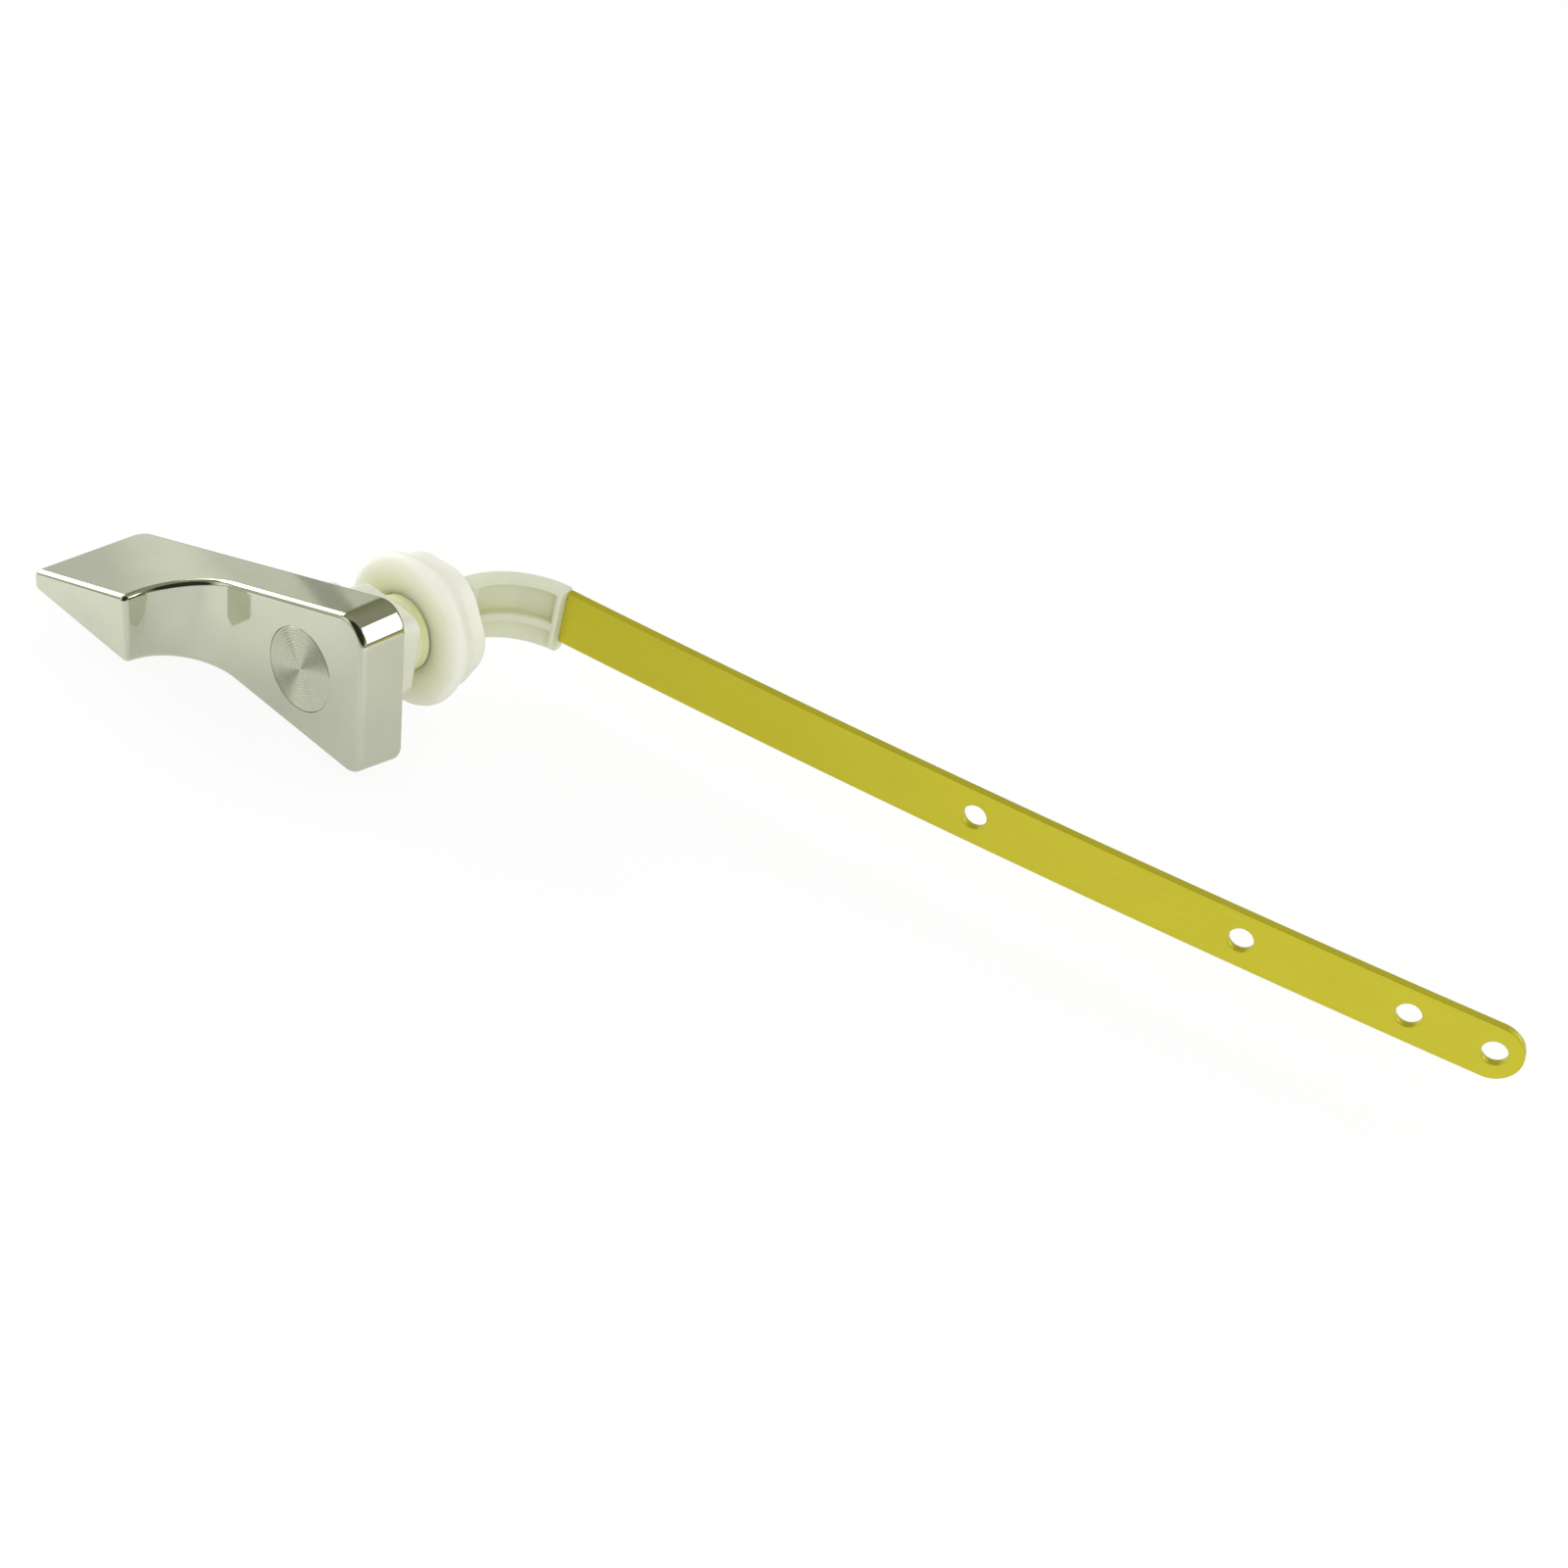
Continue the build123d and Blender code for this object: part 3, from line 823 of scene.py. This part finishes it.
class CISTERN_OT_arm(bpy.types.Operator):
    """Build the spindle arm: square end, journal, shoulder and ribbed elbow"""
    bl_idname = "cistern_lever.arm"
    bl_label = "Spindle Arm"

    def execute(self, context):
        settings = context.scene.cistern_lever.arm
        edge = settings.fillet / MM
        full = ELBOW_INNER - WEB_FACE
        rings = [elbow_ring(-ELBOW_LEAD + advance, 0, 0, inset, edge) for inset, advance in quarter(edge)]
        rings.append(elbow_ring(0, 0, 0, 0, edge))
        for inset, advance in reversed(quarter(edge)):
            rings.append(elbow_ring(CHANNEL_START - advance, inset, inset, 0, edge))
        for along in ramp(CHANNEL_START, LIP_START, 40):
            rings.append(elbow_ring(along, full, full, 0, edge))
        for inset, advance in quarter(edge):
            rings.append(elbow_ring(LIP_START + edge - inset, edge - advance, full, 0, edge))
        for inset, advance in reversed(quarter(edge)):
            rings.append(elbow_ring(LIP_END - advance, 0, full + inset, inset, edge))
        elbow = ringed("elbow_arm", rings)
        near = SEAT_CLEARANCE - STRIP_INSET
        far = -STRIP_INSET - STRIP_THICKNESS - SEAT_CLEARANCE
        half = TANG_HALF + SEAT_CLEARANCE
        corners = ((far, -half), (near, -half), (near, half), (far, half))
        seat = [[bend_point(along, o, z) for o, z in corners]
                for along in ramp(BEND_LENGTH - TANG_LENGTH - SEAT_CLEARANCE, BEND_LENGTH + SEAT_MOUTH, 24)]
        combine(elbow, ringed("seat", seat), "DIFFERENCE")

        around = 96
        spindle = [circle_ring(PILOT_RADIUS, y, around) for y in (PILOT_END, TENON_FRONT)]
        for inset, advance in quarter(SPINDLE_EDGE):
            outline = square_outline(TENON_WIDTH - 2 * inset, TENON_CORNER - inset)
            spindle.append(polar_ring(outline, TENON_FRONT + advance, around))
        spindle.append(polar_ring(square_outline(TENON_WIDTH, TENON_CORNER), JOURNAL_FRONT, around))
        for inset, advance in quarter(SPINDLE_EDGE):
            spindle.append(circle_ring(JOURNAL_RADIUS - inset, JOURNAL_FRONT + advance, around))
        spindle.append(circle_ring(JOURNAL_RADIUS, SHOULDER_FRONT, around))
        for inset, advance in quarter(SHOULDER_EDGE):
            spindle.append(circle_ring(SHOULDER_RADIUS - inset, SHOULDER_FRONT + advance, around))
        spindle.append(circle_ring(SHOULDER_RADIUS, SHOULDER_BACK, around))
        for y in (SHOULDER_BACK, SHOULDER_BACK + SPINDLE_ROOT):
            spindle.append(circle_ring(ELBOW_INNER - SPINDLE_ROOT, y, around))
        combine(elbow, ringed("spindle", spindle), "UNION")
        material = moulded_plastic("arm_plastic", tuple(settings.arm), subsurface=0.12,
                                   roughness=(0.34, 0.46), painted_shade_blue=0.72)
        settle(elbow, "spindle_arm", "lever", material)
        return {"FINISHED"}


def strip_point(along, z, depth):
    """Point of the strip by its place along it, its height and its depth behind the near face."""
    if along < 0:
        return bend_point(BEND_LENGTH + along, -STRIP_INSET - depth, z)
    heading = STRIP_HEADING + along / STRIP_BOW
    seat = BEND_RADIUS + STRIP_INSET
    x = BEND_RADIUS - sin(STRIP_HEADING) * (seat + STRIP_BOW) + sin(heading) * STRIP_BOW
    y = BEND_START + cos(STRIP_HEADING) * (seat + STRIP_BOW) - cos(heading) * STRIP_BOW
    return (x - sin(heading) * depth, y + cos(heading) * depth, z)


class CISTERN_OT_strip(bpy.types.Operator):
    """Build the strip with its tang, chain holes and round end"""
    bl_idname = "cistern_lever.strip"
    bl_label = "Strip"

    def execute(self, context):
        settings = context.scene.cistern_lever.arm
        edge = settings.strip_edge / MM
        straight = STRIP_LENGTH - STRIP_HALF
        lower = [(s, -TANG_HALF) for s in ramp(-TANG_LENGTH, 0, 13)]
        lower += [(s, -STRIP_HALF) for s in ramp(0, straight, 91)]
        upper = [(s, -z) for s, z in reversed(lower)]
        loops = [lower + arc((straight, 0), STRIP_HALF, -90, 90, 40)[1:-1] + upper]
        for middle in HOLES_ALONG:
            loops.append(arc((middle, 0), HOLE_RADIUS, 360, 0, 56)[:-1])
        points, faces, rims = [], [], []
        for loop in loops:
            normals = [Vector((b[1] - a[1], a[0] - b[0])).normalized()
                       for a, b in zip(loop[-1:] + loop[:-1], loop[1:] + loop[:1])]
            profile = quarter(edge)
            profile += [(inset, STRIP_THICKNESS - advance) for inset, advance in reversed(quarter(edge))]
            for k, (inset, depth) in enumerate(profile):
                ring = [Vector(p) - n * inset for p, n in zip(loop, normals)]
                if k == 0:
                    rims.append(ring)
                else:
                    base = len(points) - len(loop)
                    for i in range(len(loop)):
                        j = (i + 1) % len(loop)
                        faces.append((base + i, base + j, base + len(loop) + j, base + len(loop) + i))
                points += [strip_point(p.x, p.y, depth) for p in ring]

        def clear_of_holes(point, margin):
            return all((point - Vector((hole, 0))).length > HOLE_RADIUS + margin for hole in HOLES_ALONG)
        inner = [Vector((s, z)) for s in ramp(GRID_START, straight, 92) for z in GRID_HEIGHTS]
        inner = [p for p in inner if clear_of_holes(p, GRID_MARGIN)]
        flat = [p for rim in rims for p in rim] + inner
        borders, first = [], 0
        for rim in rims:
            borders += [(first + i, first + (i + 1) % len(rim)) for i in range(len(rim))]
            first += len(rim)
        plan, _, triangles, *_ = delaunay_2d_cdt(flat, borders, [], 1, TINY)

        def in_metal(triangle):
            return clear_of_holes(sum((plan[i] for i in triangle), Vector((0, 0))) / 3, RIM_MARGIN)
        for depth in (0, STRIP_THICKNESS):
            base = len(points)
            points += [strip_point(p.x, p.y, depth) for p in plan]
            faces += [tuple(base + i for i in triangle) for triangle in triangles if in_metal(triangle)]
        strip = mesh_piece("hole_strip", points, faces)
        settle(strip, "lever_strip", "lever", rolled_yellow(tuple(settings.strip)))
        return {"FINISHED"}


# Stage

CAMERA_PLACE = Vector((243.66, -248.84, 231.65)) * MM
CAMERA_RIGHT = Vector((0.73868, 0.63522, 0.22552))
CAMERA_UP = Vector((-0.51904, 0.32256, 0.79155))
SENSOR_WIDTH, FLOOR_HALF = 36, 4000.0
LAMPS = (
    # name, direction from the lever, distance, width and height in metres, brightness,
    # whether it lights surfaces, whether mirrors show it
    ("left_softbox", (-0.952, -0.052, 0.30), 0.9, 0.60, 0.45, 3.2, True, True),
    ("back_right_card", (0.55, 0.66, 0.50), 0.9, 0.56, 0.85, 1.6, False, True),
    ("back_right_softbox", (0.55, 0.66, 0.50), 0.9, 0.52, 0.80, 0.75, True, False),
    ("front_right_softbox", (0.70, -0.65, 0.35), 1.0, 0.70, 0.70, 0.9, True, False),
)
ROOM = (
    # height of a direction above the horizon, colour that mirrors show there
    (0.0, (0.34, 0.34, 0.28)),
    (0.025, (0.42, 0.43, 0.35)),
    (0.045, (0.82, 0.83, 0.74)),
    (0.085, (0.84, 0.86, 0.77)),
    (0.115, (0.82, 0.83, 0.70)),
    (0.15, (0.62, 0.63, 0.48)),
    (0.35, (0.30, 0.31, 0.19)),
    (0.62, (0.34, 0.35, 0.22)),
    (0.95, (0.45, 0.45, 0.36)),
)
CARDS = (
    # bearing from +X towards +Y in degrees, share of the room's colour that mirrors show there
    (140.0, 0.70),
    (144.0, 0.66),
    (145.5, 0.76),
    (145.66, 0.46),
    (146.28, 0.46),
    (146.42, 0.80),
    (147.8, 0.76),
    (148.6, 0.96),
    (149.4, 0.92),
    (150.4, 0.72),
    (160.0, 0.70),
)
CARD_STRENGTH = 0.98
PATCHES = (
    # direction, cosine to it where the patch begins and where it is full, colour that mirrors show there
    ((-0.46, -0.86, 0.20), 0.86, 0.95, (0.90, 0.91, 0.80)),
    ((0.42, -0.72, 0.55), 0.50, 0.74, (0.03, 0.03, 0.02)),
)
FLOOR_GLOW = (
    # place along the lever in millimetres, level of the painted glow that mirrors see on the floor there,
    # lower where it stands in for shade
    (-60.0, 0.92),
    (-38.0, 0.87),
    (-28.0, 0.86),
    (-10.0, 0.63),
    (3.0, 0.69),
    (20.0, 0.62),
    (50.0, 0.64),
    (110.0, 0.85),
    (190.0, 1.0),
)
# Two distances from the lever's middle in metres, and the floor's brightness and glow in mirrors at them
FLOOR_FADING = (0.11, 0.26, 1.0, 0.30)
FLOOR_FAR_SHARE = (0.08, 0.20, 0.55, 1.0)
WHITE_STRENGTH, WHITE_SHARE = 1.02, 0.88
TOP_LIGHT_HEIGHT = 0.9


def mirrored_room(tree):
    """Background that mirrors show: white cards round a dim room, dark at the front right."""
    place = tree.nodes.new("ShaderNodeTexCoord").outputs["Generated"]
    axes = tree.axes(place)
    heights = tree.colour_steps(axes["Z"], ROOM)
    bearing = tree.maths("ARCTAN2", axes["Y"], axes["X"])
    cards = tree.levels(bearing, [(radians(angle), share) for angle, share in CARDS])
    seen = tree.blend(1.0, heights, cards, "MULTIPLY")
    for direction, begins, full, colour in PATCHES:
        inputs = {0: place, 1: Vector(direction).normalized()}
        toward = tree.node("ShaderNodeVectorMath", inputs, operation="DOT_PRODUCT")["Value"]
        seen = tree.blend(tree.span(toward, begins, full), seen, colour)
    return tree.node("ShaderNodeBackground", {"Color": seen, "Strength": CARD_STRENGTH})["Background"]


def light_room(side_level, top_level):
    """Light from all round for the surfaces, white for the camera and a studio room for mirrors."""
    world = bpy.data.worlds.new("room")
    tree = NodeTree(world)
    height = tree.axes(tree.nodes.new("ShaderNodeTexCoord").outputs["Generated"])["Z"]
    even = tree.nodes["Background"]
    tree.fill(even.inputs["Color"], (1, 1, 0.97, 1))
    tree.fill(even.inputs["Strength"], tree.span(height, 0, TOP_LIGHT_HEIGHT, side_level, top_level))
    white = tree.node("ShaderNodeBackground", {"Color": (1, 1, 1, 1)})["Background"]
    mirrors = tree.rays("Is Glossy Ray", "Is Transmission Ray")
    lit = tree.mixed(mirrors, even.outputs["Background"], mirrored_room(tree))
    seen = tree.mixed(tree.rays("Is Camera Ray"), lit, white)
    tree.fill(tree.nodes["World Output"].inputs["Surface"], seen)
    bpy.context.scene.world = world


def floor_finish(colour, middle):
    """Pale floor that looks white with a soft shadow, and that mirrors see as a painted glow, with painted
    shade in places and dimmer farther away.
    """
    finish = Finish("pale_floor")
    finish.put(Base_Color=(*colour, 1), Roughness=0.9, Specular_IOR_Level=0.1)
    distance = finish.length(finish.scaled(finish.place, (0.5, 1, 1)))
    along = finish.axes(finish.place)["X"]
    levels = finish.levels(along, [(x * MM - middle.x, level) for x, level in FLOOR_GLOW])
    strength = finish.maths("MULTIPLY", levels, finish.span(distance, *FLOOR_FADING))
    # Painted reflection: the floor glows only for mirrors, with painted shade where the levels dip
    far = finish.node("ShaderNodeEmission", {"Color": (1, 1, 0.94, 1), "Strength": strength})["Emission"]
    mirrors = finish.rays("Is Glossy Ray", "Is Transmission Ray")
    far_share = finish.maths("MULTIPLY", mirrors, finish.span(distance, *FLOOR_FAR_SHARE))
    white = finish.node("ShaderNodeEmission", {"Color": (1, 1, 1, 1), "Strength": WHITE_STRENGTH})["Emission"]
    white_share = finish.maths("MULTIPLY", finish.rays("Is Camera Ray"), WHITE_SHARE)
    surface = finish.mixed(far_share, finish.shader.outputs["BSDF"], far)
    surface = finish.mixed(white_share, surface, white)
    finish.fill(finish.nodes["Material Output"].inputs["Surface"], surface)
    return finish.material


class CISTERN_OT_stage(bpy.types.Operator):
    """Set the floor, the light and the camera"""
    bl_idname = "cistern_lever.stage"
    bl_label = "Stage"

    def execute(self, context):
        settings = context.scene.cistern_lever.stage
        half = FLOOR_HALF
        corners = [(-half, -half, 0), (half, -half, 0), (half, half, 0), (-half, half, 0)]
        floor = mesh_piece("floor", corners, [(0, 1, 2, 3)])
        middle = (Vector(CAD_BOX[0]) + Vector(CAD_BOX[1])) / 2
        floor.data.materials.append(floor_finish(tuple(settings.floor), middle))
        floor.location = (middle.x, middle.y, CAD_BOX[0][2] - settings.floor_drop)
        light_room(settings.side_level, settings.top_level)
        for name, direction, distance, width, height, brightness, lights, mirrored in LAMPS:
            lamp = bpy.data.lights.new(name, "AREA")
            lamp.shape = "RECTANGLE"
            lamp.size, lamp.size_y = width, height
            lamp.energy = brightness * pi * width * height
            holder = bpy.data.objects.new(name, lamp)
            outward = Vector(direction).normalized()
            holder.location = middle + outward * distance
            holder.rotation_mode = "QUATERNION"
            holder.rotation_quaternion = outward.to_track_quat("Z", "Y")
            holder.visible_diffuse = lights
            holder.visible_glossy = mirrored
            context.scene.collection.objects.link(holder)
        camera = bpy.data.cameras.new("camera")
        camera.sensor_width = SENSOR_WIDTH
        camera.lens = settings.lens
        camera.clip_start = 0.01
        holder = bpy.data.objects.new("camera", camera)
        backward = CAMERA_RIGHT.cross(CAMERA_UP)
        axes = Matrix((CAMERA_RIGHT, CAMERA_UP, backward)).transposed()
        holder.matrix_world = Matrix.Translation(CAMERA_PLACE) @ axes.to_4x4()
        context.scene.collection.objects.link(holder)
        context.scene.camera = holder
        context.scene.view_settings.view_transform = "Standard"
        return {"FINISHED"}


class CISTERN_PT_lever(bpy.types.Panel):
    """Lists the lever's settings and the steps that build it"""
    bl_idname = "CISTERN_PT_lever"
    bl_label = "Cistern Lever"
    bl_space_type = "VIEW_3D"
    bl_region_type = "UI"
    bl_category = "Cistern Lever"

    def draw(self, context):
        settings = context.scene.cistern_lever
        for group in (settings.handle, settings.bushing, settings.arm, settings.stage):
            box = self.layout.box()
            for name in group.bl_rna.properties.keys():
                if name not in ("rna_type", "name"):
                    box.prop(group, name)
        for step in STEPS:
            self.layout.operator(step.bl_idname)


STEPS = (CISTERN_OT_handle, CISTERN_OT_disc, CISTERN_OT_screw, CISTERN_OT_bushing, CISTERN_OT_nut,
         CISTERN_OT_arm, CISTERN_OT_strip, CISTERN_OT_stage)
GROUPS = (LeverHandleSettings, LeverBushingSettings, LeverArmSettings, LeverStageSettings, LeverSettings)


def register():
    for item in (*GROUPS, *STEPS, CISTERN_PT_lever):
        bpy.utils.register_class(item)
    bpy.types.Scene.cistern_lever = PointerProperty(type=LeverSettings)


def unregister():
    del bpy.types.Scene.cistern_lever
    for item in reversed((*GROUPS, *STEPS, CISTERN_PT_lever)):
        bpy.utils.unregister_class(item)


def main():
    register()
    bpy.ops.cistern_lever.handle()
    bpy.ops.cistern_lever.disc()
    bpy.ops.cistern_lever.screw()
    bpy.ops.cistern_lever.bushing()
    bpy.ops.cistern_lever.nut()
    bpy.ops.cistern_lever.arm()
    bpy.ops.cistern_lever.strip()
    bpy.ops.cistern_lever.stage()


if __name__ == "__main__":
    main()
